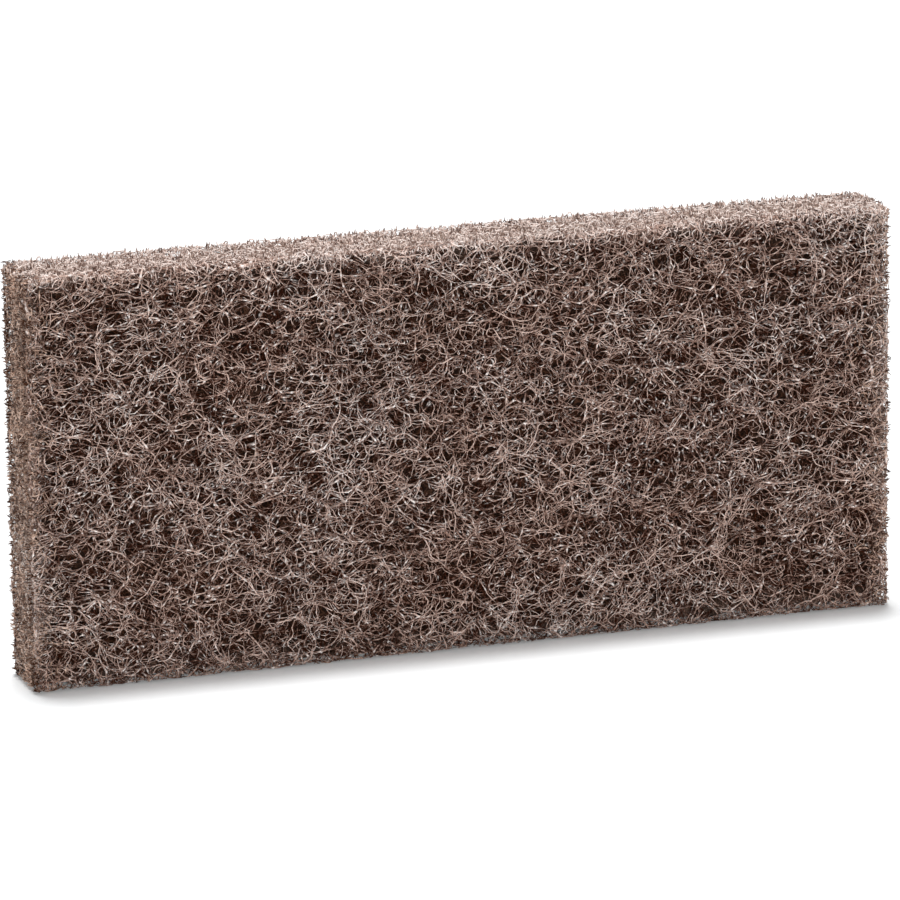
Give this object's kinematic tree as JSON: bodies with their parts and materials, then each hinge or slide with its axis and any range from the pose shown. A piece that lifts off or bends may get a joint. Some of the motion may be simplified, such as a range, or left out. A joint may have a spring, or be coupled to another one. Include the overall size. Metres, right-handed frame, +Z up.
{
  "type": "floor stripping pad",
  "caption": "Thick rectangular hand pad of coarse brown resin-bonded fibre web, rubbed by hand or under a pad holder to strip old finish off floors.",
  "frame": {"origin": "middle of the long cut edge that the pad stands on, at the centre of its length and thickness", "axes": "+X along the length, +Z up through the height, Y through the thickness with the shown working face at -Y"},
  "size_m": [0.254, 0.024, 0.117],
  "materials": {
    "bonded_fibre": "dull brown crimped fibre bonded with resin and grit, open and springy"
  },
  "bodies": {
    "root": {"stripping_pad": "bonded_fibre"}
  },
  "joints": []
}
